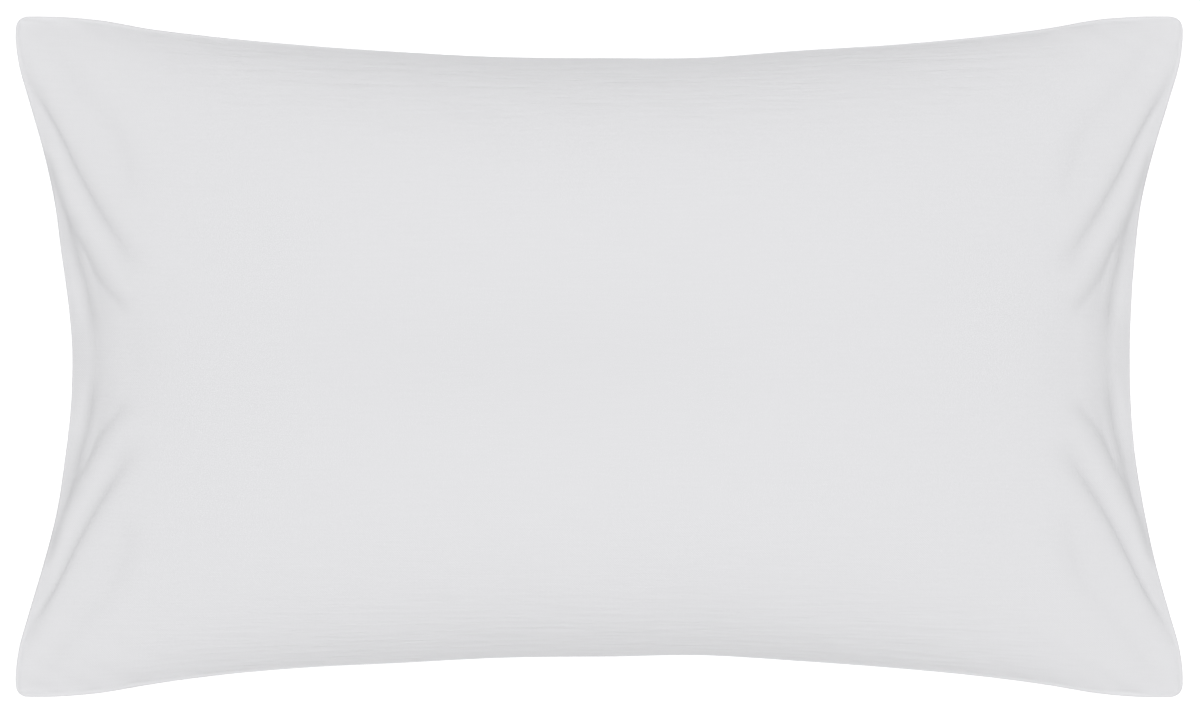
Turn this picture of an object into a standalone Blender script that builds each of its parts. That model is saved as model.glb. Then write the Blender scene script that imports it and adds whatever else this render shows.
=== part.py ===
"""A filled pillowcase, cut 50 x 80 cm, lying on its back on a flat surface.

Two panels of plain woven cloth are sewn together all round by a turned seam. The filling rounds both
panels, so the four sides draw in between the corners, the corners stay thin, and the short ends gather
into a few creases that run from the corners towards the middle of each end. The case and its filling
are one padded body here.

Units are metres. +X runs along the long sides, +Y along the short ones and +Z out of the face. The
origin is under the middle of the body, on the surface that it lies on.
"""

import bmesh
import bpy
import numpy as np

NAME = "pillowcase"
MM = 0.001

# ---------------------------------------------------------------- driving sizes, in metres
LENGTH = 0.785  # from corner to corner along X
WIDTH = 0.4578  # from corner to corner along Y
CORNER_RADIUS = 0.0075  # of a turned corner, seen from above
SEAM_THICKNESS = 0.002  # the turned edge, pressed flat
SIDE_SEAM_HEIGHT = 0.042  # of the seam above the surface, halfway along a side
CORNER_SEAM_HEIGHT = 0.018  # the thin corners sag towards the surface
FACE_RISE = 0.080  # of the face above the seam, in the middle
BACK_DROP = 0.066  # of the back below the seam, if the surface did not stop it
END_FULLNESS = 2.0  # how soon the panels level off, going in from a short end: higher is sooner
END_ROUNDNESS = 0.80  # how steeply the panels leave the seam at a short end: lower is steeper
SIDE_FULLNESS = 3.3  # the same two numbers, going in from a long side
SIDE_ROUNDNESS = 0.65
CORNER_THINNING = 0.05  # how much less steeply the panels leave the seam towards the corners
FLAT_EASE = 0.008  # the height over which the back eases into its flat resting patch
BACK_CREASE_SHARE = 0.6  # the back's creases are shallower than the face's

# The grid of each panel: rows lie closer together near the long sides, columns near the creases.
COLUMNS, COLUMN_CROWDING, COLUMN_ZONE = 48, 0.17, 0.62
ROWS, ROW_CROWDING, ROW_ZONE = 48, 0.42, 0.9

# How far each side draws in from the straight line between its corners, in millimetres.
# Columns: distance from the middle of the side, then the draw at that distance each way.
LEFT_DRAW = (  # from_middle, down, up
    (0, 38.6, 38.6),
    (35, 37.4, 35.9),
    (70, 33.3, 31.0),
    (105, 27.8, 26.3),
    (139, 19.0, 18.7),
    (172, 9.1, 9.2),
    (199, 1.7, 1.7),
    (214, 0.0, 0.0),
    (229, 0.0, 0.0),
)
RIGHT_DRAW = (  # from_middle, down, up
    (0, 36.0, 36.0),
    (35, 35.2, 35.0),
    (70, 31.9, 32.4),
    (105, 25.9, 28.0),
    (139, 18.5, 19.6),
    (172, 9.2, 9.5),
    (199, 1.7, 1.8),
    (214, 0.0, 0.0),
    (229, 0.0, 0.0),
)
UPPER_DRAW = (  # from_middle, left, right
    (0, 28.1, 28.1),
    (67, 27.4, 27.9),
    (135, 23.9, 23.0),
    (202, 19.2, 18.8),
    (269, 12.6, 12.3),
    (303, 8.3, 7.8),
    (336, 2.5, 2.0),
    (363, 0.3, 0.1),
    (393, 0.0, 0.0),
)
LOWER_DRAW = (  # from_middle, left, right
    (0, 27.4, 27.4),
    (67, 26.6, 28.4),
    (135, 23.1, 24.4),
    (202, 19.7, 19.4),
    (269, 13.3, 12.7),
    (303, 8.4, 8.0),
    (336, 2.8, 2.5),
    (363, 0.5, 0.2),
    (393, 0.0, 0.0),
)

# The creases of one quarter of the case, in millimetres. The other three quarters mirror them.
# Columns: in from the end of the case, distance from its middle line, depth, half width.
CORNER_CREASE = (  # in_from_end, from_middle, depth, half_width
    (10, 187, 0.5, 5),
    (30, 149, 4.5, 6),
    (50, 110, 6.0, 7),
    (70, 79, 4.0, 8),
    (80, 66, 0.0, 9),
)
SIDE_CREASE = (  # in_from_end, from_middle, depth, half_width
    (20, 138, 0.5, 5),
    (32, 97, 4.5, 6),
    (44, 63, 6.0, 7),
    (52, 31, 5.5, 7),
    (54, 0, 4.5, 8),
)
FORK_CREASE = (  # in_from_end, from_middle, depth, half_width
    (38, 82, 0.0, 6),
    (48, 68, 4.0, 6),
    (63, 47, 5.0, 7),
    (80, 31, 0.0, 9),
)
CREASES = (CORNER_CREASE, SIDE_CREASE, FORK_CREASE)
CREASE_STEPS = 24  # places at which a crease's curve is worked out

# Bleached cotton: the colour of the cloth in linear light, and how matt it is.
CLOTH_COLOUR = (0.77, 0.77, 0.785, 1.0)
CLOTH_ROUGHNESS = 0.9


def spaced(count, crowding, zone):
    """count + 1 places from -1 to 1 whose gaps shrink to `crowding` of the middle ones at both ends."""
    gap_middle = (np.arange(count) + 0.5) * 2 / count - 1
    ease = np.clip((1 - np.abs(gap_middle)) / zone, 0, 1)
    gap = crowding + (1 - crowding) * ease**2 * (3 - 2 * ease)
    place = np.concatenate([[0.0], np.cumsum(gap)])
    return place / place[-1] * 2 - 1


def smooth_through(known_at, known, at):
    """Values at the places `at` of a smooth curve through the known ones, level at both its ends."""
    slope = np.gradient(known, known_at)
    slope[[0, -1]] = 0
    i = np.clip(np.searchsorted(known_at, at) - 1, 0, len(known_at) - 2)
    step = known_at[i + 1] - known_at[i]
    t = np.clip((at - known_at[i]) / step, 0, 1)
    start = known[i] * (1 + 2 * t) + slope[i] * step * t
    end = known[i + 1] * (3 - 2 * t) + slope[i + 1] * step * (t - 1)
    return start * (1 - t) ** 2 + end * t**2


def side_draw(table, along):
    """How far a side draws in, in metres, at places along it: negative ones use the first column."""
    from_middle, below, above = np.array(table, float).T * MM
    away = np.abs(along)
    return np.where(
        along < 0,
        smooth_through(from_middle, below, away),
        smooth_through(from_middle, above, away),
    )


def plan(u, v):
    """Where a panel's point lies, seen from above: u and v run from -1 to 1 along X and Y."""
    x_straight = u * LENGTH / 2
    y_straight = v * WIDTH / 2
    end_draw = np.where(u < 0, side_draw(LEFT_DRAW, y_straight), side_draw(RIGHT_DRAW, y_straight))
    side = np.where(v < 0, side_draw(LOWER_DRAW, x_straight), side_draw(UPPER_DRAW, x_straight))
    x = x_straight - np.sign(u) * u**2 * end_draw
    y = y_straight - np.sign(v) * v**2 * side
    return round_corners(x, y)


def round_corners(x, y):
    """The square corner of a panel, drawn onto a quarter of a disc."""
    to_arc_x = (np.abs(x) - LENGTH / 2) / CORNER_RADIUS + 1
    to_arc_y = (np.abs(y) - WIDTH / 2) / CORNER_RADIUS + 1
    p = np.clip(to_arc_x, 0, 1)
    q = np.clip(to_arc_y, 0, 1)
    x_back = (p - p * np.sqrt(1 - q**2 / 2)) * CORNER_RADIUS
    y_back = (q - q * np.sqrt(1 - p**2 / 2)) * CORNER_RADIUS
    return x - np.sign(x) * x_back, y - np.sign(y) * y_back


def crown(u, v):
    """The share of its full rise that a panel has at a point: 0 on the seam, 1 in the middle."""
    end_roundness = END_ROUNDNESS + CORNER_THINNING * v**2
    side_roundness = SIDE_ROUNDNESS + CORNER_THINNING * u**4
    from_ends = (1 - np.abs(u) ** END_FULLNESS) ** end_roundness
    from_sides = (1 - np.abs(v) ** SIDE_FULLNESS) ** side_roundness
    return from_ends * from_sides


def crease_depth(x, y):
    """How deep the creases are at each point of a panel, seen from above."""
    depth = np.zeros_like(x)
    in_from_end = LENGTH / 2 - np.abs(x)
    from_middle = np.abs(y)
    for table in CREASES:
        rows = np.array(table, float)
        along = np.linspace(0, len(rows) - 1, CREASE_STEPS * (len(rows) - 1))
        row_at = np.arange(len(rows), dtype=float)
        line = [smooth_through(row_at, rows[:, k] * MM, along) for k in range(4)]
        for line_x, line_y, line_depth, half_width in zip(*line):
            away = np.hypot(in_from_end - line_x, from_middle - line_y)
            depth = np.maximum(depth, line_depth * np.exp(-((away / half_width) ** 2)))
    return depth


def ease_onto_surface(z):
    """Heights kept from going under the surface: level on it, and eased into that."""
    eased = (z + FLAT_EASE) ** 2 / (4 * FLAT_EASE)
    return np.where(z > FLAT_EASE, z, np.where(z < -FLAT_EASE, 0.0, eased))


def shape_panel(panel, is_face):
    """Moves the points of a flat grid to where the filling holds this panel."""
    points = np.empty(len(panel.vertices) * 3, np.float32)
    panel.vertices.foreach_get("co", points)
    u, v, _ = points.reshape(-1, 3).astype(float).T
    u = np.interp(u, np.linspace(-1, 1, COLUMNS + 1), spaced(COLUMNS, COLUMN_CROWDING, COLUMN_ZONE))
    v = np.interp(v, np.linspace(-1, 1, ROWS + 1), spaced(ROWS, ROW_CROWDING, ROW_ZONE))
    x, y = plan(u, v)
    corner_sag = (SIDE_SEAM_HEIGHT - CORNER_SEAM_HEIGHT) * (u * v) ** 2
    seam_z = SIDE_SEAM_HEIGHT - corner_sag
    fullness = crown(u, v)
    creases = crease_depth(x, y)
    if is_face:
        z = seam_z + SEAM_THICKNESS / 2 + FACE_RISE * fullness - creases
    else:
        z = seam_z - SEAM_THICKNESS / 2 - BACK_DROP * fullness + creases * BACK_CREASE_SHARE
        z = ease_onto_surface(z)
    panel.vertices.foreach_set("co", np.stack([x, y, z], 1).astype(np.float32).ravel())


def make_panel(name, is_face):
    """One cut panel as a grid of COLUMNS by ROWS, shaped over the filling."""
    bpy.ops.mesh.primitive_grid_add(x_subdivisions=COLUMNS, y_subdivisions=ROWS, size=2)
    panel = bpy.context.object
    panel.name = name
    shape_panel(panel.data, is_face)
    return panel


def sew(face, back):
    """Joins the two panels along their edges, which makes one closed body."""
    bpy.ops.object.select_all(action="DESELECT")
    face.select_set(True)
    back.select_set(True)
    bpy.context.view_layer.objects.active = face
    bpy.ops.object.join()
    mesh = face.data
    body = bmesh.new()
    body.from_mesh(mesh)
    open_edges = [edge for edge in body.edges if edge.is_boundary]
    bmesh.ops.bridge_loops(body, edges=open_edges)
    bmesh.ops.recalc_face_normals(body, faces=body.faces)
    body.to_mesh(mesh)
    body.free()
    mesh.shade_smooth()
    return face


def cotton():
    """Bleached cotton cloth: nearly white and quite matt."""
    material = bpy.data.materials.new("bleached cotton")
    material.use_nodes = True
    shader = material.node_tree.nodes["Principled BSDF"]
    shader.inputs["Base Color"].default_value = CLOTH_COLOUR
    shader.inputs["Roughness"].default_value = CLOTH_ROUGHNESS
    shader.inputs["Metallic"].default_value = 0.0
    return material


def main():
    for thing in list(bpy.data.objects):
        bpy.data.objects.remove(thing, do_unlink=True)
    case = sew(make_panel("face panel", True), make_panel("back panel", False))
    case.name = NAME
    case.data.name = NAME
    case.data.materials.append(cotton())
    collection = bpy.data.collections.new(NAME)
    bpy.context.scene.collection.children.link(collection)
    for owner in list(case.users_collection):
        owner.objects.unlink(case)
    collection.objects.link(case)


main()
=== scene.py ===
# %% [markdown]
# # A filled pillowcase, seen from straight above
#
# The real object is a plain cotton case, cut 50 x 80 cm, pulled over its filling. Two panels of cloth
# are sewn together all round and turned the right way out. The filling rounds both panels, and that
# draws the four sides in between the corners. The short ends gather into a few creases.
#
# The measured model comes first. It is fixed: everything below is built around it, in metres, with +X
# along the long sides, +Y along the short ones and +Z out of the face.

# %% Load the measured model
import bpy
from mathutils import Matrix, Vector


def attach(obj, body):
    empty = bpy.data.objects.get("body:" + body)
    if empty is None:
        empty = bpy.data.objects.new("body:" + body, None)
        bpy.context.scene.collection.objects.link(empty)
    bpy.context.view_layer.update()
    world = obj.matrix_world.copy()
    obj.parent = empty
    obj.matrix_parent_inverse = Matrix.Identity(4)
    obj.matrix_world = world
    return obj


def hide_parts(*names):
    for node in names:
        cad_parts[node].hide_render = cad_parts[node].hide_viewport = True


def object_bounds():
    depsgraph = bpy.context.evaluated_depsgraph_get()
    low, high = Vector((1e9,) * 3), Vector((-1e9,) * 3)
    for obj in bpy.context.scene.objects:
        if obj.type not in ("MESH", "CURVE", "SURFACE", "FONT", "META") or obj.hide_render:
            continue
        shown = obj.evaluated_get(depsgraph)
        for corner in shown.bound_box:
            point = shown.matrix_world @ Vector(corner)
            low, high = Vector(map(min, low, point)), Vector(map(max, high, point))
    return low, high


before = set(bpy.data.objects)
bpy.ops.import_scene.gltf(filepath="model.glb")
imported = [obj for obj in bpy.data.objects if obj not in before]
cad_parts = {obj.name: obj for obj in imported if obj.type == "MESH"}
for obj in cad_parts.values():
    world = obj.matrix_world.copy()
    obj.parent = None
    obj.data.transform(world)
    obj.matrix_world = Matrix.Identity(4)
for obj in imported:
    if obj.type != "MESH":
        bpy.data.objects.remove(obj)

# %% Keep its box
import math

import bpy
import numpy as np

MM = 0.001
CAD_LOW, CAD_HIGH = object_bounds()
LENGTH = CAD_HIGH.x - CAD_LOW.x
WIDTH = CAD_HIGH.y - CAD_LOW.y
print("the case is", round(LENGTH / MM), "x", round(WIDTH / MM), "mm, and", round(CAD_HIGH.z / MM), "thick")

# %% [markdown]
# ## The camera
#
# The photograph looks straight down on the face, from so far away that the sides of the case don't
# lean. A long lens a long way off gives the same view. An orthographic camera would too, but it keeps
# its width when it moves, and a slanted view of the case needs more room.
#
# The view's width comes from the outline: the case is 1167 pixels long in a picture 1200 pixels wide.
# Its longest line runs between the corners, so the scale is set at the height of the corners.

# %% Place the camera
PICTURE_WIDTH_PX = 1200
PICTURE_HEIGHT_PX = 716
OUTLINE_LENGTH_PX = 1167.0
OUTLINE_CENTRE_PX = (599.2, 356.85)
LENS_MM = 1000
SENSOR_MM = 36
CORNER_SEAM_HEIGHT = 0.018

metres_per_px = LENGTH / OUTLINE_LENGTH_PX
view_width = PICTURE_WIDTH_PX * metres_per_px
camera_data = bpy.data.cameras.new("straight above")
camera_data.lens = LENS_MM
camera_data.sensor_width = SENSOR_MM
camera = bpy.data.objects.new("straight above", camera_data)
bpy.context.scene.collection.objects.link(camera)
bpy.context.scene.camera = camera
camera.location = (
    (PICTURE_WIDTH_PX / 2 - OUTLINE_CENTRE_PX[0]) * metres_per_px,
    (OUTLINE_CENTRE_PX[1] - PICTURE_HEIGHT_PX / 2) * metres_per_px,
    CORNER_SEAM_HEIGHT + view_width * LENS_MM / SENSOR_MM,
)
print("the camera looks down from", round(camera.location.z, 1), "m, on", round(view_width, 3), "m")

# %% [markdown]
# ## The outline
#
# A flat case is a rectangle. Filled, its sides curve inwards: the cloth that goes up over the filling
# has to come from somewhere. Each side is a short table of how far it draws in, in millimetres, and a
# smooth curve runs through those places. The tables differ a little, as the sides of real sewing do.
#
# The outline could also be left to a cloth simulation of two flat panels. That was not chosen, because
# the photograph fixes the outline, and a simulation only comes near it.

# %% How far the sides draw in
LEFT_DRAW = (  # from_middle, down, up
    (0, 38.6, 38.6),
    (35, 37.4, 35.9),
    (70, 33.3, 31.0),
    (105, 27.8, 26.3),
    (139, 19.0, 18.7),
    (172, 9.1, 9.2),
    (199, 1.7, 1.7),
    (214, 0.0, 0.0),
    (229, 0.0, 0.0),
)
RIGHT_DRAW = (  # from_middle, down, up
    (0, 36.0, 36.0),
    (35, 35.2, 35.0),
    (70, 31.9, 32.4),
    (105, 25.9, 28.0),
    (139, 18.5, 19.6),
    (172, 9.2, 9.5),
    (199, 1.7, 1.8),
    (214, 0.0, 0.0),
    (229, 0.0, 0.0),
)
UPPER_DRAW = (  # from_middle, left, right
    (0, 28.1, 28.1),
    (67, 27.4, 27.9),
    (135, 23.9, 23.0),
    (202, 19.2, 18.8),
    (269, 12.6, 12.3),
    (303, 8.3, 7.8),
    (336, 2.5, 2.0),
    (363, 0.3, 0.1),
    (393, 0.0, 0.0),
)
LOWER_DRAW = (  # from_middle, left, right
    (0, 27.4, 27.4),
    (67, 26.6, 28.4),
    (135, 23.1, 24.4),
    (202, 19.7, 19.4),
    (269, 13.3, 12.7),
    (303, 8.4, 8.0),
    (336, 2.8, 2.5),
    (363, 0.5, 0.2),
    (393, 0.0, 0.0),
)


def smooth_through(known_at, known, at, level_ends=True):
    """Values at the places `at` of a smooth curve through the known ones."""
    slope = np.gradient(known, known_at)
    if level_ends:
        slope[[0, -1]] = 0
    i = np.clip(np.searchsorted(known_at, at) - 1, 0, len(known_at) - 2)
    step = known_at[i + 1] - known_at[i]
    t = np.clip((at - known_at[i]) / step, 0, 1)
    start = known[i] * (1 + 2 * t) + slope[i] * step * t
    end = known[i + 1] * (3 - 2 * t) + slope[i + 1] * step * (t - 1)
    return start * (1 - t) ** 2 + end * t**2


def side_draw(table, along):
    """How far a side draws in, in metres, at places along it: negative ones use the first column."""
    from_middle, below, above = np.array(table, float).T * MM
    away = np.abs(along)
    return np.where(
        along < 0,
        smooth_through(from_middle, below, away),
        smooth_through(from_middle, above, away),
    )


print("each end draws in by", LEFT_DRAW[0][1], "and", RIGHT_DRAW[0][1], "mm in its middle")

# %% [markdown]
# A panel is a flexible sheet, so its points are named by where they are on the cloth: u runs from -1 to
# 1 along X and v along Y. The function below says where such a point lies when it is seen from above.
# `inset` moves the outline inwards, which gives the line of the seam inside the turned edge.

# %% From a place on the cloth to a place seen from above
CORNER_RADIUS = 0.0075


def plan(u, v, inset=0.0):
    """Where a panel's point lies, seen from above, inside an outline that is moved in by `inset`."""
    half_length = LENGTH / 2 - inset
    half_width = WIDTH / 2 - inset
    x_straight = u * half_length
    y_straight = v * half_width
    end_draw = np.where(u < 0, side_draw(LEFT_DRAW, y_straight), side_draw(RIGHT_DRAW, y_straight))
    side = np.where(v < 0, side_draw(LOWER_DRAW, x_straight), side_draw(UPPER_DRAW, x_straight))
    x = x_straight - np.sign(u) * u**2 * end_draw
    y = y_straight - np.sign(v) * v**2 * side
    radius = CORNER_RADIUS - inset
    p = np.clip((np.abs(x) - half_length) / radius + 1, 0, 1)
    q = np.clip((np.abs(y) - half_width) / radius + 1, 0, 1)
    x_back = (p - p * np.sqrt(1 - q**2 / 2)) * radius
    y_back = (q - q * np.sqrt(1 - p**2 / 2)) * radius
    return x - np.sign(x) * x_back, y - np.sign(y) * y_back


def inside_sides(x, y):
    """How far each point lies inside the nearest short end and the nearest long side, seen from above."""
    end_draw = np.where(x < 0, side_draw(LEFT_DRAW, y), side_draw(RIGHT_DRAW, y))
    side = np.where(y < 0, side_draw(LOWER_DRAW, x), side_draw(UPPER_DRAW, x))
    from_end = np.clip(LENGTH / 2 - end_draw - np.abs(x), 0, None)
    from_side = np.clip(WIDTH / 2 - side - np.abs(y), 0, None)
    return from_end, from_side


end_middle, _ = plan(np.array([1.0]), np.array([0.0]))
print("the middle of the right end lies", round(end_middle[0] / MM), "mm from the middle of the case")

# %% [markdown]
# ## How the filling rounds the panels
#
# Seen from the side, a filled case is a lens that is blunt at its long sides and thin at its corners.
# Each panel leaves the seam steeply and then levels off. That is a product of two curves, one across
# and one along, and each curve is a power of a power, so two numbers say how full and how round it is.
# Under a light from above, a slope looks darker the steeper it is. So the photograph's shading, from
# the bright middle to the grey long sides, tells how steep the cloth is, and that sets the numbers.

# %% The height of the panels
SEAM_HEIGHT = 0.042  # of the seam above the surface, halfway along a side
FACE_RISE = 0.080
BACK_DROP = 0.066
END_FULLNESS = 2.0
END_ROUNDNESS = 0.80
SIDE_FULLNESS = 3.3
SIDE_ROUNDNESS = 0.65
CORNER_THINNING = 0.05
FLAT_EASE = 0.008


def crown(u, v):
    """The share of its full rise that a panel has at a point: 0 on the seam, 1 in the middle."""
    end_roundness = END_ROUNDNESS + CORNER_THINNING * v**2
    side_roundness = SIDE_ROUNDNESS + CORNER_THINNING * u**4
    from_ends = np.clip(1 - np.abs(u) ** END_FULLNESS, 0, 1) ** end_roundness
    from_sides = np.clip(1 - np.abs(v) ** SIDE_FULLNESS, 0, 1) ** side_roundness
    return from_ends * from_sides


def seam_height(u, v):
    """The height of the seam: the thin corners sag towards the surface."""
    return SEAM_HEIGHT - (SEAM_HEIGHT - CORNER_SEAM_HEIGHT) * (u * v) ** 2


def ease_onto_surface(z):
    """Heights kept from going under the surface: level on it, and eased into that."""
    eased = (z + FLAT_EASE) ** 2 / (4 * FLAT_EASE)
    return np.where(z > FLAT_EASE, z, np.where(z < -FLAT_EASE, 0.0, eased))


top = SEAM_HEIGHT + FACE_RISE
print("the face is", round(top / MM), "mm above the surface, the measured model", round(CAD_HIGH.z / MM))

# %% [markdown]
# ## Two panels
#
# Each panel starts as a flat grid of about 7 mm squares, near the size that cloth is simulated at. The
# rows and columns lie closer together near the seams, where the cloth is steep.
#
# Two things are kept for every point under a name, as an attribute of the mesh. `place` says where on
# the cloth the point is, and `thread` how far it lies from the middle of the panel, measured along the
# threads. The woven finish is drawn on `thread`, so that it follows the cloth over the crown.

# %% Helpers for a mesh's points
def points_of(mesh):
    """The places of a mesh's points, as an array with a row for each."""
    flat = np.empty(len(mesh.vertices) * 3, np.float32)
    mesh.vertices.foreach_get("co", flat)
    return flat.reshape(-1, 3).astype(float)


def set_points(mesh, points):
    """Moves a mesh's points to these places."""
    mesh.vertices.foreach_set("co", points.astype(np.float32).ravel())
    mesh.update()


def store(mesh, name, values):
    """Keeps three numbers for each point under a name. Blender's tools carry them over to new points."""
    layer = mesh.attributes.get(name) or mesh.attributes.new(name, "FLOAT_VECTOR", "POINT")
    layer.data.foreach_set("vector", values.astype(np.float32).ravel())


def stored(mesh, name):
    """The three numbers kept for each point under a name."""
    flat = np.empty(len(mesh.vertices) * 3, np.float32)
    mesh.attributes[name].data.foreach_get("vector", flat)
    return flat.reshape(-1, 3).astype(float)


# %% [markdown]
# The turned edge of a seam shows as a thin rim. At the thin corners it lies flat and is widest. Along
# the full sides the cloth pulls it under: it droops, and can hardly be seen from above.

# %% How wide the turned edge shows
LIP_WIDTH = 0.0026
SIDE_LIP_WIDTH = 0.0005
LIP_REACH = 0.16  # how far from a corner it fades
DROOP = 0.9  # how far it drops for each metre of its width, halfway along a side
DROOP_START = 0.06  # how far from a corner it droops
RIPPLE = 0.35  # how unevenly the machine fed the cloth, as a share of the width
RIPPLE_LENGTHS = (0.061, 0.037, 0.026)


def to_corner(u, v):
    """How far along the seam a place on it lies from the nearest corner."""
    return np.hypot((1 - np.abs(u)) * LENGTH / 2, (1 - np.abs(v)) * WIDTH / 2)


def lip(u, v):
    """The width of the turned edge, at the seam's places on the cloth."""
    width = SIDE_LIP_WIDTH + (LIP_WIDTH - SIDE_LIP_WIDTH) * np.exp(-((to_corner(u, v) / LIP_REACH) ** 2))
    along = u * LENGTH / 2 + v * WIDTH
    waves = sum(np.sin(2 * math.pi * along / length) for length in RIPPLE_LENGTHS)
    return width * (1 + RIPPLE * waves / len(RIPPLE_LENGTHS))


def droop(u, v):
    """How far the tip of the turned edge hangs below the seam."""
    return lip(u, v) * DROOP * (1 - np.exp(-((to_corner(u, v) / DROOP_START) ** 2)))


print("the turned edge shows", round(LIP_WIDTH / MM, 1), "mm at a corner, and less along a side")

# %% [markdown]
# Each panel is a primitive grid whose points are moved to where the functions above put them. They are
# two separate objects so far, a millimetre apart where the seam will join them.

# %% Make the two panels
COLUMNS, COLUMN_CROWDING, COLUMN_ZONE = 112, 0.55, 0.45
ROWS, ROW_CROWDING, ROW_ZONE = 64, 0.55, 0.6
GROOVE_THICKNESS = 0.0010  # of both panels together where the stitches hold them


def spaced(count, crowding, zone):
    """count + 1 places from -1 to 1 whose gaps shrink to `crowding` of the middle ones at both ends."""
    gap_middle = (np.arange(count) + 0.5) * 2 / count - 1
    ease = np.clip((1 - np.abs(gap_middle)) / zone, 0, 1)
    gap = crowding + (1 - crowding) * ease**2 * (3 - 2 * ease)
    place = np.concatenate([[0.0], np.cumsum(gap)])
    return place / place[-1] * 2 - 1


def thread_lengths(points):
    """How far each point of a panel lies from its middle, measured along the threads of the cloth."""
    grid = points.reshape(ROWS + 1, COLUMNS + 1, 3)
    along = np.linalg.norm(np.diff(grid, axis=1), axis=2)
    across = np.linalg.norm(np.diff(grid, axis=0), axis=2)
    along = np.concatenate([np.zeros((ROWS + 1, 1)), np.cumsum(along, axis=1)], axis=1)
    across = np.concatenate([np.zeros((1, COLUMNS + 1)), np.cumsum(across, axis=0)], axis=0)
    along -= along[:, COLUMNS // 2 : COLUMNS // 2 + 1]
    across -= across[ROWS // 2 : ROWS // 2 + 1]
    return np.stack([along, across, np.zeros_like(along)], 2).reshape(-1, 3)


def make_panel(name, side):
    """One panel as a grid, shaped over the filling. side is 1 for the face and -1 for the back."""
    bpy.ops.object.select_all(action="DESELECT")
    bpy.ops.mesh.primitive_grid_add(x_subdivisions=COLUMNS, y_subdivisions=ROWS, size=2)
    panel = bpy.context.object
    panel.name = name
    u, v, _ = points_of(panel.data).T
    u = np.interp(u, np.linspace(-1, 1, COLUMNS + 1), spaced(COLUMNS, COLUMN_CROWDING, COLUMN_ZONE))
    v = np.interp(v, np.linspace(-1, 1, ROWS + 1), spaced(ROWS, ROW_CROWDING, ROW_ZONE))
    x, y = plan(u, v, lip(u, v))
    if side > 0:
        z = seam_height(u, v) + GROOVE_THICKNESS / 2 + FACE_RISE * crown(u, v)
    else:
        z = ease_onto_surface(seam_height(u, v) - GROOVE_THICKNESS / 2 - BACK_DROP * crown(u, v))
    points = np.stack([x, y, z], 1)
    set_points(panel.data, points)
    store(panel.data, "place", np.stack([u, v, np.full_like(u, side)], 1))
    store(panel.data, "thread", thread_lengths(points))
    return panel


face = make_panel("face panel", 1)
back = make_panel("back panel", -1)
lengths = stored(face.data, "thread")
print("over the crown the cloth is", (np.ptp(lengths, axis=0)[:2] / MM).round(), "mm along and across")

# %% [markdown]
# ## Sewing
#
# A maker lays the two panels on each other and stitches round. Here they are joined into one mesh, and
# their open edges are bridged by a narrow ring of faces, which is the seam.

# %% Sew the panels together
SEAM_AT = 0.9999  # a point whose u or v is past this, either way, is on the seam

bpy.ops.object.select_all(action="DESELECT")
back.select_set(True)
face.select_set(True)
bpy.context.view_layer.objects.active = face
bpy.ops.object.join()
case = bpy.context.object
case.name = "filled_case"
bpy.ops.object.mode_set(mode="EDIT")
bpy.ops.mesh.select_mode(type="EDGE")
bpy.ops.mesh.select_all(action="DESELECT")
bpy.ops.mesh.select_non_manifold()
bpy.ops.mesh.bridge_edge_loops()
bpy.ops.mesh.select_all(action="SELECT")
bpy.ops.mesh.normals_make_consistent(inside=False)
bpy.ops.object.mode_set(mode="OBJECT")
u, v, side = stored(case.data, "place").T
on_seam = (np.abs(u) > SEAM_AT) | (np.abs(v) > SEAM_AT)
print("the seam joins", on_seam.sum() // 2, "places on each panel")

# %% [markdown]
# ## Letting the cloth settle
#
# The panels are smooth up to here, as if they were blown from glass. Real cloth has a little more
# length than its shape needs, and it gathers where the stitches hold it. A cloth simulation finds such
# gathers: the seam is pinned, air pressure stands for the filling, gravity is off, and the cloth gets
# a little slack.
#
# A free simulation would also swell the crown, which the photograph fixes. So the broad swell is taken
# out of its result, which leaves the gathers. They are capped too, and the back stays on the surface.

# %% Simulate the cloth, within a cap
SIM_FRAMES = 20
SLACK = 0.004  # the share by which the cloth is longer than its shape needs
PRESSURE = 4
SWELL_PASSES = 40  # of averaging with the neighbours, which leaves only the broad swell
GATHER_SHARE = 0.4  # of the gathers that is kept
MOVE_CAP = 0.0012  # no point moves further than this


def settle(thing, pinned):
    """Runs the cloth simulation on a mesh and applies its result."""
    held = thing.vertex_groups.new(name="held by the stitches")
    held.add(np.flatnonzero(pinned).tolist(), 1.0, "REPLACE")
    cloth = thing.modifiers.new("cloth", "CLOTH")
    how = cloth.settings
    how.quality = 6
    how.mass = 0.1
    how.tension_stiffness = 30
    how.compression_stiffness = 30
    how.shear_stiffness = 10
    how.bending_stiffness = 0.3
    how.shrink_min = -SLACK
    how.use_pressure = True
    how.uniform_pressure_force = PRESSURE
    how.effector_weights.gravity = 0
    how.vertex_group_mass = held.name
    cloth.point_cache.frame_end = SIM_FRAMES
    for frame_number in range(1, SIM_FRAMES + 1):
        bpy.context.scene.frame_set(frame_number)
    bpy.ops.object.modifier_apply(modifier=cloth.name)
    bpy.context.scene.frame_set(1)
    thing.vertex_groups.clear()


def broad_part(moved):
    """The broad part of how two panels moved: each point is averaged with its neighbours many times."""
    grids = moved.reshape(2, ROWS + 1, COLUMNS + 1, 3)
    for _ in range(SWELL_PASSES):
        padded = np.pad(grids, ((0, 0), (1, 1), (1, 1), (0, 0)), mode="edge")
        across = padded[:, :-2, 1:-1] + padded[:, 2:, 1:-1]
        along = padded[:, 1:-1, :-2] + padded[:, 1:-1, 2:]
        grids = (grids + across + along) / 5
    return grids.reshape(-1, 3)


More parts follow.
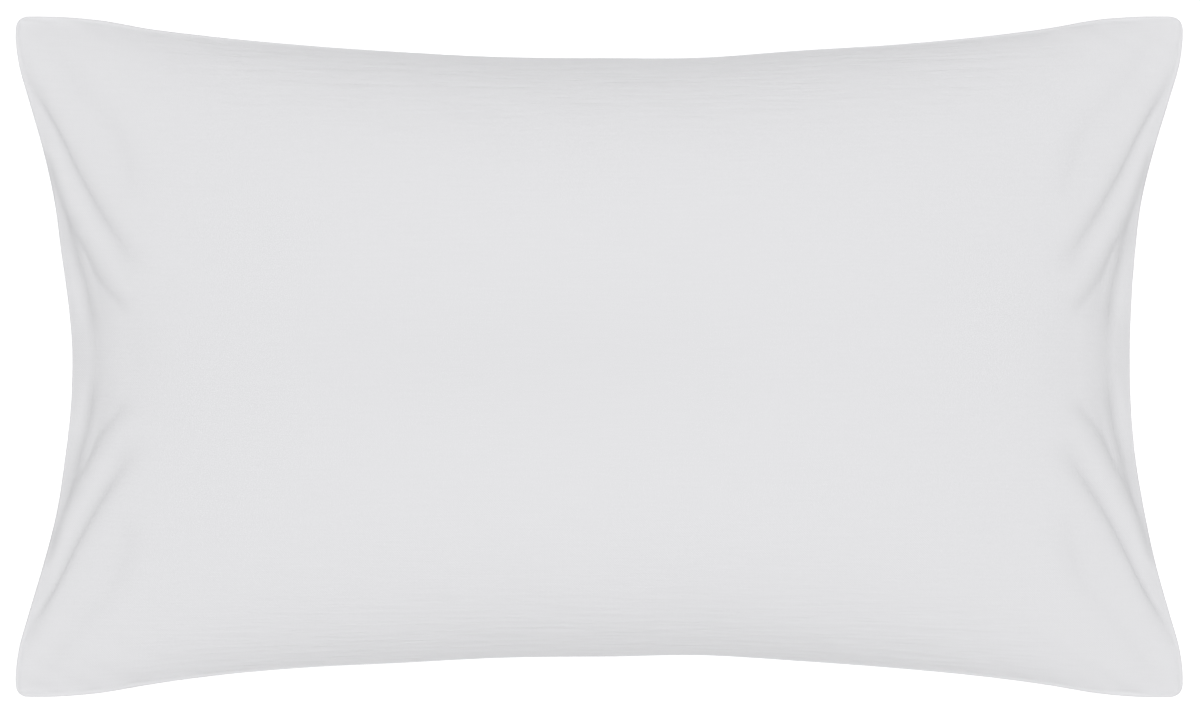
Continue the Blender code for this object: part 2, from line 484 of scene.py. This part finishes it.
bpy.ops.object.select_all(action="DESELECT")
case.select_set(True)
before = points_of(case.data)
settle(case, on_seam)
moved = points_of(case.data) - before
gathers = (moved - broad_part(moved)) * GATHER_SHARE
gathers[on_seam] = 0
size = np.linalg.norm(gathers, axis=1)
gathers *= (MOVE_CAP * np.tanh(size / MOVE_CAP) / np.maximum(size, 1e-9))[:, None]
points = before + gathers
points[:, 2] = np.maximum(points[:, 2], 0)
set_points(case.data, points)
print("the gathers are", round(np.abs(gathers[:, 2]).max() / MM, 2), "mm deep at most")

# %% [markdown]
# ## The turned edge
#
# Turned the right way out, the seam is a little bead: the seam allowance inside keeps it from lying
# flat, and the stitches pull a fine groove just inside it. The ring of seam faces is extruded three
# times: to where the bead is full, along its top, and to its tip.

# %% Turn the edge
BEAD_THICKNESS = 0.0018
TIP_THICKNESS = 0.0008
BEAD_RINGS = (  # share of the lip's width in from its tip, how thick
    (0.70, BEAD_THICKNESS),
    (0.25, BEAD_THICKNESS),
    (0.00, TIP_THICKNESS),
)

bpy.ops.object.mode_set(mode="EDIT")
bpy.ops.mesh.select_mode(type="FACE")
bpy.ops.mesh.select_all(action="DESELECT")
bpy.ops.object.mode_set(mode="OBJECT")
for polygon in case.data.polygons:
    corners = list(polygon.vertices)
    polygon.select = bool(on_seam[corners].all() and np.ptp(side[corners]) > 1)
bpy.ops.object.mode_set(mode="EDIT")
for share, thickness in BEAD_RINGS:
    bpy.ops.mesh.extrude_region_move()
    bpy.ops.object.mode_set(mode="OBJECT")
    points = points_of(case.data)
    chosen = np.zeros(len(points), bool)
    case.data.vertices.foreach_get("select", chosen)
    u, v, side = stored(case.data, "place")[chosen].T
    x, y = plan(u, v, share * lip(u, v))
    z = seam_height(u, v) - (1 - share) * droop(u, v) + side * thickness / 2
    points[chosen] = np.stack([x, y, z], 1)
    set_points(case.data, points)
    bpy.ops.object.mode_set(mode="EDIT")
bpy.ops.mesh.select_all(action="SELECT")
bpy.ops.mesh.normals_make_consistent(inside=False)
bpy.ops.object.mode_set(mode="OBJECT")
print("the case has", len(case.data.polygons), "faces")

# %% [markdown]
# A Subdivision Surface modifier rounds the bead and the cloth. It is applied, because the creases come
# after it and are finer than the squares that it rounds.

# %% Round it with a subdivision
rounding = case.modifiers.new("rounding", "SUBSURF")
rounding.levels = 1
rounding.render_levels = 1
bpy.ops.object.modifier_apply(modifier=rounding.name)
print("after one subdivision it has", len(case.data.polygons), "faces")

# %% [markdown]
# ## The creases
#
# At each short end the cloth has further to go round the filling than the seam is long, so it folds.
# Two sharp creases start near each corner and run towards the middle of the end. One ends on the face, and
# the other forks, with one arm along the end and one onto the face. A soft fold lies beside them, a facet
# with a gentle slope above it between the forks, dark from its slope and from painted shade, and a dip at
# the seam. The strip between the first crease and the seam gets only painted shade.
#
# Each is a step in the cloth: coming from the end of the case, the cloth dips a little and then climbs
# steeply. The tables give its line on one quarter of the face, in millimetres, and its depth and
# widths there. They could be sculpted by hand as well, but a table can be measured and mended.
#
# In a real fold, fibres on both sides also shade each other, more than a smooth surface can show, so that
# shade is painted into the cloth's colour. The last column says how much darker the cloth is painted there,
# and the finish reads it.

# %% Where the creases run
CORNER_CREASE = (  # in_from_end, from_middle, depth, dip_width, step_width, shade_percent
    (6.5, 192, 0.3, 6, 2.6, 2.5),
    (12.5, 180, 0.9, 7, 3.2, 4.5),
    (20.9, 166, 2.0, 8, 2.4, 6),
    (30.2, 149, 2.5, 10, 2.5, 5.5),
    (39.9, 129, 2.7, 12, 2.9, 6),
    (50.1, 110, 2.8, 12, 3.1, 6.5),
    (59.6, 94, 2.6, 12, 3.4, 7),
    (69.8, 79, 1.9, 12, 3.5, 6),
    (80, 64, 0.3, 12, 5.0, 3),
    (88, 52, 0.0, 12, 7.0, 0),
)
SIDE_CREASE = (  # in_from_end, from_middle, depth, dip_width, step_width, shade_percent
    (17, 142, 0.0, 3, 1.5, 4),
    (21.3, 134, 0.9, 3, 1.6, 11),
    (24.6, 122, 1.9, 4, 1.9, 15),
    (28.9, 108, 2.4, 5, 2.3, 12),
    (32.9, 97, 2.9, 6.5, 2.8, 12),
    (36.0, 88, 3.2, 7, 3.6, 13),
    (38.8, 78, 3.0, 7.5, 3.6, 14),
    (42.4, 63, 2.9, 8, 3.3, 13),
    (46.6, 48, 2.8, 8, 3.5, 11),
    (50.1, 31, 2.8, 8.5, 3.8, 10.5),
    (52.4, 14, 2.5, 10, 5.2, 6.5),
    (53.5, 0, 2.4, 10, 5.6, 6),
)
FORK_CREASE = (  # in_from_end, from_middle, depth, dip_width, step_width, shade_percent
    (38, 86, 0.0, 3, 2.5, 0),
    (42.4, 79.5, 1.6, 4, 3.2, 8),
    (48.1, 68, 2.4, 5, 3.5, 8),
    (54.6, 55.4, 2.4, 7.5, 4.3, 7.5),
    (61.4, 46.2, 2.2, 8, 3.7, 7),
    (68.6, 38.5, 1.7, 9, 3.7, 6),
    (75.5, 32.5, 0.5, 9, 4.4, 3.5),
    (82, 28, 0.0, 9, 6.0, 0),
)
SOFT_FOLD = (  # in_from_end, from_middle, depth, dip_width, step_width, shade_percent
    (17, 218, 0.0, 6, 4, 0.8),
    (30, 201, 0.6, 7, 4, 1.8),
    (46, 178, 0.9, 8, 5, 1.6),
    (65, 157, 0.9, 9, 5, 1.8),
    (77, 129, 0.8, 9, 5, 2.2),
    (79, 100, 0.0, 10, 6, 0),
)
# painted shade only, with no depth: the strip between the first crease and the seam
PAINTED_EDGE_SHADE = (  # in_from_end, from_middle, depth, dip_width, step_width, shade_percent
    (7, 186, 0.0, 4, 2.5, 1),
    (14, 167, 0.0, 4, 3.0, 3),
    (21, 150, 0.0, 4, 3.0, 3),
    (29, 131, 0.0, 4, 2.5, 0),
)
FACET = (  # in_from_end, from_middle, depth, dip_width, step_width, shade_percent
    (44, 82, 0.0, 8, 3, 0),
    (49, 66, 1.2, 10, 4, 3),
    (54, 52, 2.1, 12, 5, 6),
    (58, 36, 2.4, 14, 6, 5.5),
    (61, 18, 1.9, 14, 7, 3.3),
    (62, 0, 1.6, 14, 8, 2.8),
)
END_SLOPE = (  # in_from_end, from_middle, depth, dip_width, step_width, shade_percent
    (70, 50, 0.0, 14, 8, 0),
    (74, 36, 0.4, 16, 11, 1.4),
    (78, 18, 0.7, 18, 13, 1.6),
    (80, 0, 0.8, 18, 14, 1.6),
)
SEAM_DIP = (  # in_from_end, from_middle, depth, dip_width, step_width, shade_percent
    (36, 58, 0.0, 3, 3, 0),
    (40, 36, 0.3, 4, 3.5, 3),
    (43, 16, 0.9, 5, 4.0, 6),
    (44, 0, 1.1, 5, 4.0, 6.5),
)
SHARP = (CORNER_CREASE, SIDE_CREASE, FORK_CREASE)
SHARED = (CORNER_CREASE, PAINTED_EDGE_SHADE, SOFT_FOLD)  # the same in all four quarters
SHIFTED = (SIDE_CREASE, FORK_CREASE, FACET, END_SLOPE, SEAM_DIP)
SHIFT_REACH = 85 * MM  # from an end's middle to where the shift near a corner holds


def quarter_shift(x, y):
    """How much further in a quarter's creases lie: the four quarters of a real case differ a little."""
    in_middle = np.where(x < 0, 0.0, -2.6) * MM
    lower = np.where(x < 0, 1.5, 0.0)
    upper = np.where(x < 0, 0.0, 1.3)
    near_corner = np.where(y < 0, lower, upper) * MM
    t = np.clip(np.abs(y) / SHIFT_REACH, 0, 1)
    return in_middle + (near_corner - in_middle) * t**2 * (3 - 2 * t)


print(len(SHARED + SHIFTED), "tables say where the cloth folds:", len(SHARP), "of them are sharp creases")

# %% [markdown]
# A crease's line is a smooth curve through its rows. For each point of the mesh the nearest place on
# the line is found, and on which side of the line the point lies.
#
# A fainter step follows the long seams: the stitches pull the cloth in a little there, before it rises
# over the filling.

# %% How deep the creases are at a point
CREASE_STEPS = 14  # places worked out between two rows
SEAM_HOLD = 0.004  # the stitches hold the cloth down this far from the edge
SHADE_SPREAD = 1.9  # the painted shade is this much wider than the step
SHARP_FROM = 0.3 * MM  # a sharp crease that is deeper than this needs a finer mesh
TUCK_DEPTH = 0.0007  # the cloth beside a long seam is pulled in by this much
TUCK_PLACE = 0.012  # and rises again this far from it
TUCK_WIDTH = 0.006
TUCK_WANDER = 0.0035
TUCK_LEAN = 0.5  # it is this share deeper towards one end, and shallower towards the other
TUCK_LENGTHS = (0.173, 0.097, 0.071)


def crease_line(table):
    """A smooth line through a crease's rows: its places and, at each, its depth, widths and shade."""
    rows = np.array(table, float)
    rows[:, :5] *= MM
    rows[:, 5] /= 100
    row_at = np.arange(len(rows), dtype=float)
    at = np.linspace(0, len(rows) - 1, CREASE_STEPS * (len(rows) - 1) + 1)
    return np.stack([smooth_through(row_at, column, at, level_ends=False) for column in rows.T], 1)


def nearest_on(line, in_from_end, from_middle):
    """The row of a line nearest to each point, and how far inwards of the line the point lies."""
    best = np.full_like(in_from_end, LENGTH)
    best_row = np.zeros(len(in_from_end), int)
    for i, row in enumerate(line):
        away = np.hypot(in_from_end - row[0], from_middle - row[1])
        nearer = away < best
        best[nearer] = away[nearer]
        best_row[nearer] = i
    row = line[best_row]
    ahead = line[np.minimum(best_row + 1, len(line) - 1)] - line[np.maximum(best_row - 1, 0)]
    cross = ahead[:, 0] * (from_middle - row[:, 1]) - ahead[:, 1] * (in_from_end - row[:, 0])
    return row, best * np.sign(cross)


def folds(x, y, softness=1.0):
    """At each point, seen from above: the creases' depth and painted shade, and how near a sharp one is."""
    depth = np.zeros_like(x)
    shade = np.zeros_like(x)
    nearest = np.full_like(x, LENGTH)
    for table in SHARED + SHIFTED:
        in_from_end = LENGTH / 2 - np.abs(x)
        if table in SHIFTED:
            in_from_end = in_from_end - quarter_shift(x, y)
        row, inwards = nearest_on(crease_line(table), in_from_end, np.abs(y))
        _, _, full_depth, dip_width, step_width, full_shade = row.T
        step = (1 - np.tanh(inwards / (step_width * softness))) / 2
        dip = np.exp(-((np.minimum(inwards, 0) / (dip_width * softness)) ** 2))
        depth += np.maximum(full_depth, 0) * step * dip
        # painted shade of the crease, darkest on its line
        shade = np.maximum(shade, full_shade * np.exp(-((inwards / (SHADE_SPREAD * step_width)) ** 2)))
        if table in SHARP:
            nearest = np.minimum(nearest, np.where(full_depth > SHARP_FROM, np.abs(inwards), LENGTH))
    from_end, from_side = inside_sides(x, y)
    waves = sum(np.sin(2 * math.pi * (x + y) / length) for length in TUCK_LENGTHS)
    tuck_place = TUCK_PLACE + TUCK_WANDER * waves / len(TUCK_LENGTHS)
    tuck_depth = TUCK_DEPTH * (1 - TUCK_LEAN * np.sin(math.pi * x / LENGTH))
    depth += tuck_depth * (1 - np.tanh((from_side - tuck_place) / TUCK_WIDTH)) / 2
    hold = 1 - np.exp(-((np.minimum(from_end, from_side) / SEAM_HOLD) ** 2))
    return depth * hold, shade, nearest


deepest = [crease_line(table)[:, 2].max() / MM for table in SHARP]
print("the three sharp creases are up to", np.round(deepest, 1), "mm deep")

# %% [markdown]
# A crease is finer than the cloth's squares, so the mesh is made finer along the sharp ones first, by
# Subdivide in edit mode. That is done twice, the second time on a narrower strip. The faces beside a
# strip get more than four corners by it, some of them in a straight line. They are cut into triangles
# by the Beauty method, which leaves no slivers.

# %% Make the mesh finer along the creases
FINE_STRIPS = (0.0075, 0.0042)  # how far from a sharp crease each subdivision reaches
FACE_ONLY = 0.999  # a point's side is 1 on the face panel and less from the seam outwards


def cut_finer(thing, chosen_points):
    """Subdivides the faces whose points are all chosen."""
    bpy.ops.object.mode_set(mode="EDIT")
    bpy.ops.mesh.select_mode(type="FACE")
    bpy.ops.mesh.select_all(action="DESELECT")
    bpy.ops.object.mode_set(mode="OBJECT")
    for polygon in thing.data.polygons:
        polygon.select = bool(chosen_points[list(polygon.vertices)].all())
    bpy.ops.object.mode_set(mode="EDIT")
    bpy.ops.mesh.subdivide(number_cuts=1)
    bpy.ops.object.mode_set(mode="OBJECT")


for reach in FINE_STRIPS:
    points = points_of(case.data)
    side = stored(case.data, "place")[:, 2]
    _, _, nearest = folds(points[:, 0], points[:, 1])
    cut_finer(case, (nearest < reach) & (side > FACE_ONLY))
bpy.ops.object.mode_set(mode="EDIT")
bpy.ops.mesh.select_all(action="DESELECT")
bpy.ops.mesh.select_face_by_sides(number=4, type="GREATER")
bpy.ops.mesh.quads_convert_to_tris(quad_method="BEAUTY", ngon_method="BEAUTY")
bpy.ops.object.mode_set(mode="OBJECT")
case.data.calc_loop_triangles()
print("with fine strips along the creases it has", len(case.data.loop_triangles), "triangles")

# %% [markdown]
# Now each point of the face panel is pressed into the filling, along its own normal, by the depth of
# the creases there. The back lies on the surface and is pressed flat, so it keeps only soft traces.
#
# The groove just inside the turned edge lies in its own shade, which is painted into the colour, most where
# the ends pull hardest on it.
# Along the middle the cloth is a little darker, by about a hundredth. Both are kept along with the creases'
# painted shade, and so is how much the long seams drag on the cloth.

# %% Press the creases in
BACK_SHARE = 0.3  # of the face's depth
BACK_SOFTNESS = 2.2  # the back's creases are this much wider
GROOVE_SHADE = 0.05  # the share of painted shade in the groove, where the turned edge is widest
GROOVE_WIDTH = 0.0010
# painted shade in the groove at the middle of each end
END_GROOVE_SHADE = 0.08
END_GROOVE_WIDTH = 0.0022
END_GROOVE_REACH = 0.026  # to both sides of an end's middle
MIDDLE_DARKENING = 0.016  # how much darker the cloth is along the middle
MIDDLE_BAND_X = -0.05
MIDDLE_BAND_LENGTH = 0.18
MIDDLE_BAND_WIDTH = 0.042
DRAG_REACH = 0.045  # how far from a long seam the cloth still shows drag lines
DRAG_ENDS = (0.62, 0.86)  # the share of the case's half length where they fade out


def normals_of(mesh):
    """The direction that each point of a mesh faces."""
    flat = np.empty(len(mesh.vertices) * 3, np.float32)
    mesh.vertices.foreach_get("normal", flat)
    return flat.reshape(-1, 3).astype(float)


points = points_of(case.data)
x, y, _ = points.T
u, v, side = stored(case.data, "place").T
on_face = np.clip(side, 0, 1)
on_back = np.clip(-side, 0, 1)
face_depth, shade, _ = folds(x, y)
back_depth, _, _ = folds(x, y, BACK_SOFTNESS)
depth = face_depth * on_face + back_depth * BACK_SHARE * on_back
from_end, from_side = inside_sides(x, y)
from_groove = np.minimum(from_end, from_side) - lip(u, v)
# painted shade in the groove just inside the turned edge
painted_groove_shade = GROOVE_SHADE * lip(u, v) / LIP_WIDTH * np.exp(-((from_groove / GROOVE_WIDTH) ** 2))
end_groove = np.exp(-((from_end / END_GROOVE_WIDTH) ** 2) - (y / END_GROOVE_REACH) ** 2)
painted_groove_shade = np.maximum(painted_groove_shade, END_GROOVE_SHADE * end_groove)
# a band along the middle of the face, darker by about a hundredth
thin = MIDDLE_DARKENING * np.exp(-(((x - MIDDLE_BAND_X) / MIDDLE_BAND_LENGTH) ** 2) - (y / MIDDLE_BAND_WIDTH) ** 2)
shade = np.maximum(shade * on_face, painted_groove_shade) + thin * on_face
drag = np.exp(-((from_side / DRAG_REACH) ** 2)) * np.interp(np.abs(u), DRAG_ENDS, (1, 0))
points -= normals_of(case.data) * depth[:, None]
set_points(case.data, points)
case.data.shade_smooth()
# kept for each point: the painted shade of the creases and the groove with the darker middle band, and how
# much the long seams drag
store(case.data, "painted_shade_and_drag", np.stack([shade, drag, np.zeros_like(drag)], 1))
print("the deepest crease goes", round(depth.max() / MM, 1), "mm into the filling")

# %% [markdown]
# ## The cotton
#
# The cloth is a plain weave: each thread goes over one and under the next. Cotton yarn is uneven, so
# here and there a thread is thicker for a few centimetres. Those slubs are the only pattern that can be
# seen at arm's length, as faint streaks along the threads. Bleached cotton is matt and almost white.
#
# An image could be stretched over the cloth instead. A pattern made by nodes needs no image, has no
# edge where it repeats, and takes its sizes from the thread.

# %% Helpers for colours and nodes
SLUB_DARK = "#DCDCDE"
SLUB_LIGHT = "#E0E0E2"


def linear(hex_colour):
    """An sRGB hex colour as the linear numbers that Blender works with."""
    parts = [int(hex_colour[i : i + 2], 16) / 255 for i in (1, 3, 5)]
    return [p / 12.92 if p <= 0.04045 else ((p + 0.055) / 1.055) ** 2.4 for p in parts] + [1.0]


def add(material, kind, settings=None, values=None, links=None):
    """Adds a node to a material, with its settings, its sockets' values and the sockets that feed it."""
    node = material.node_tree.nodes.new(kind)
    for name, value in (settings or {}).items():
        setattr(node, name, value)
    for name, value in (values or {}).items():
        node.inputs[name].default_value = value
    for name, source in (links or {}).items():
        material.node_tree.links.new(source, node.inputs[name])
    return node


print("the cotton reflects", [round(part, 2) for part in linear(SLUB_LIGHT)[:3]], "of red, green and blue")

# %% [markdown]
# The real threads lie about 0.4 mm apart, which is finer than the render can show. So the weave is
# drawn twice as coarse, and shallow enough to be seen only where the cloth slopes. The slubs have
# their real size: about 1.5 mm wide and 35 mm long.

# %% Bleached plain-woven cotton
THREAD_SPACING = 0.4 * MM
DRAWN_COARSER = 2
WEAVE_PERIOD = 2 * THREAD_SPACING * DRAWN_COARSER  # over one thread and under the next
WEAVE_DEPTH = 0.08 * MM
SLUB_WIDTH = 1.5 * MM
SLUB_LENGTH = 35 * MM
SLUB_DEPTH = 0.10 * MM
CROSSWISE_SHARE = 0.25  # of the slubs: the rest run along the case
LINE_WIDTH = 5 * MM  # of the faint lines that the long seams drag into the cloth
LINE_LENGTH = 60 * MM
LINE_DEPTH = 1.1 * MM
WAVE_PERIOD = 2 * math.pi / 20  # of Blender's wave texture at a scale of 1

cotton = bpy.data.materials.new("bleached plain-woven cotton")
cotton.use_nodes = True
thread = add(cotton, "ShaderNodeAttribute", {"attribute_name": "thread"}).outputs["Vector"]
painted_shade_and_drag = add(cotton, "ShaderNodeAttribute", {"attribute_name": "painted_shade_and_drag"}).outputs["Vector"]
painted_shade_and_middle_darkening, seam_drag, _ = add(cotton, "ShaderNodeSeparateXYZ", links={"Vector": painted_shade_and_drag}).outputs

streak_sizes = ((SLUB_LENGTH, SLUB_WIDTH), (SLUB_WIDTH, SLUB_LENGTH), (LINE_LENGTH, LINE_WIDTH))
streaks = []
for length_x, length_y in streak_sizes:
    stretched = add(
        cotton,
        "ShaderNodeMapping",
        values={"Scale": (1 / length_x, 1 / length_y, 1)},
        links={"Vector": thread},
    )
    noise = add(
        cotton,
        "ShaderNodeTexNoise",
        values={"Scale": 1.0, "Detail": 2.0, "Roughness": 0.6},
        links={"Vector": stretched.outputs["Vector"]},
    )
    streaks.append(noise.outputs["Fac"])
slubs = add(
    cotton,
    "ShaderNodeMix",
    {"data_type": "FLOAT"},
    {"Factor": CROSSWISE_SHARE},
    {"A": streaks[0], "B": streaks[1]},
)

waves = []
for direction in ("X", "Y"):
    wave = add(
        cotton,
        "ShaderNodeTexWave",
        {"bands_direction": direction},
        {"Scale": WAVE_PERIOD / WEAVE_PERIOD, "Distortion": 0.8, "Detail": 1.0, "Detail Scale": 0.6},
        {"Vector": thread},
    )
    centred = add(cotton, "ShaderNodeMath", {"operation": "SUBTRACT"}, {1: 0.5}, {0: wave.outputs["Fac"]})
    waves.append(centred.outputs[0])
weave = add(cotton, "ShaderNodeMath", {"operation": "MULTIPLY"}, links={0: waves[0], 1: waves[1]})

print("the weave is drawn with a thread every", THREAD_SPACING * DRAWN_COARSER / MM, "mm")

# %% [markdown]
# The slubs lighten and darken the cotton by about a hundredth. Painted shade in the creases and the groove,
# and the darker band along the middle, darken it a little more, by the share kept with each point. Bump
# nodes raise the faint lines that the long seams drag into the cloth, the slubs and the weave. A little
# sheen stands for the fibre ends that stick out of the yarn and catch the light at a glancing angle.

# %% Put the cotton on the case
slub_colour = add(
    cotton,
    "ShaderNodeMix",
    {"data_type": "RGBA"},
    {"A": linear(SLUB_DARK), "B": linear(SLUB_LIGHT)},
    {"Factor": slubs.outputs["Result"]},
)
# painted shade: the cotton is mixed towards black by the painted shade and the darker middle band
colour = add(
    cotton,
    "ShaderNodeMix",
    {"data_type": "RGBA"},
    {"B": (0, 0, 0, 1)},
    {"Factor": painted_shade_and_middle_darkening, "A": slub_colour.outputs["Result"]},
)
raised = {"Strength": seam_drag}
for height, depth_of in (
    (streaks[2], LINE_DEPTH),
    (slubs.outputs["Result"], SLUB_DEPTH),
    (weave.outputs[0], WEAVE_DEPTH),
):
    bump = add(cotton, "ShaderNodeBump", values={"Distance": depth_of}, links={"Height": height, **raised})
    raised = {"Normal": bump.outputs["Normal"]}
shader = cotton.node_tree.nodes["Principled BSDF"]
shader.inputs["Roughness"].default_value = 0.9
shader.inputs["IOR"].default_value = 1.45  # cotton fibre has about 1.54, and the air in the yarn softens it
shader.inputs["Sheen Weight"].default_value = 0.05
cotton.node_tree.links.new(colour.outputs["Result"], shader.inputs["Base Color"])
cotton.node_tree.links.new(bump.outputs["Normal"], shader.inputs["Normal"])
case.data.materials.clear()
case.data.materials.append(cotton)
print("the cotton is made of", len(cotton.node_tree.nodes), "nodes")

# %% [markdown]
# ## The studio
#
# The photograph was taken on pure white, with light from all round and no shadow, as on a light table.
# The floor glows a little, so that it stays white under the case too. A white floor that only reflects
# would do in a brighter light, but then the cloth would turn as white as the floor.

# %% The floor
FLOOR_SIZE = 60
FLOOR_GAP = 0.0002
FLOOR_GLOW = 0.34

bpy.ops.object.select_all(action="DESELECT")
bpy.ops.mesh.primitive_plane_add(size=FLOOR_SIZE, location=(0, 0, -FLOOR_GAP))
floor = bpy.context.object
floor.name = "floor"
table_top = bpy.data.materials.new("opal acrylic light table")
table_top.use_nodes = True
table_shader = table_top.node_tree.nodes["Principled BSDF"]
table_shader.inputs["Base Color"].default_value = linear("#F3F3F3")
table_shader.inputs["Roughness"].default_value = 0.9
table_shader.inputs["Emission Color"].default_value = linear("#FFFFFF")
table_shader.inputs["Emission Strength"].default_value = FLOOR_GLOW
floor.data.materials.append(table_top)
print("the floor is", FLOOR_SIZE, "m wide, so that it ends at the horizon in slanted views")

# %% [markdown]
# A very large, soft lamp above the case and a pale room give the cloth its shade: the steeper it is, the
# less of the lamp it sees. A sun lamp with a wide angle is such a lamp. An area lamp would do too, but
# the case would be brighter in the middle, nearer to it.

# %% The light
ROOM_STRENGTH = 0.245
LAMP_SPREAD = 60  # degrees across: the wider, the softer
LAMP_STRENGTH = 0.820 * math.pi  # pi is the strength at which a white sheet below reads as 1
LAMP_HEIGHT = 3.0

room = bpy.data.worlds.new("white room")
bpy.context.scene.world = room
room.use_nodes = True
room.node_tree.nodes["Background"].inputs["Color"].default_value = linear("#FFFFFF")
room.node_tree.nodes["Background"].inputs["Strength"].default_value = ROOM_STRENGTH
lamp_data = bpy.data.lights.new("overhead softbox", "SUN")
lamp_data.angle = math.radians(LAMP_SPREAD)
lamp_data.energy = LAMP_STRENGTH
lamp = bpy.data.objects.new("overhead softbox", lamp_data)
lamp.location = (0, 0, LAMP_HEIGHT)
bpy.context.scene.collection.objects.link(lamp)
bpy.context.scene.view_settings.view_transform = "Standard"
print("the lamp is", LAMP_SPREAD, "degrees across, and the room adds", ROOM_STRENGTH)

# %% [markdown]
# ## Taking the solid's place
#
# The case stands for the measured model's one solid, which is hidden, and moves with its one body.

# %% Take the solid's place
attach(case, "root")
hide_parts("pillowcase")
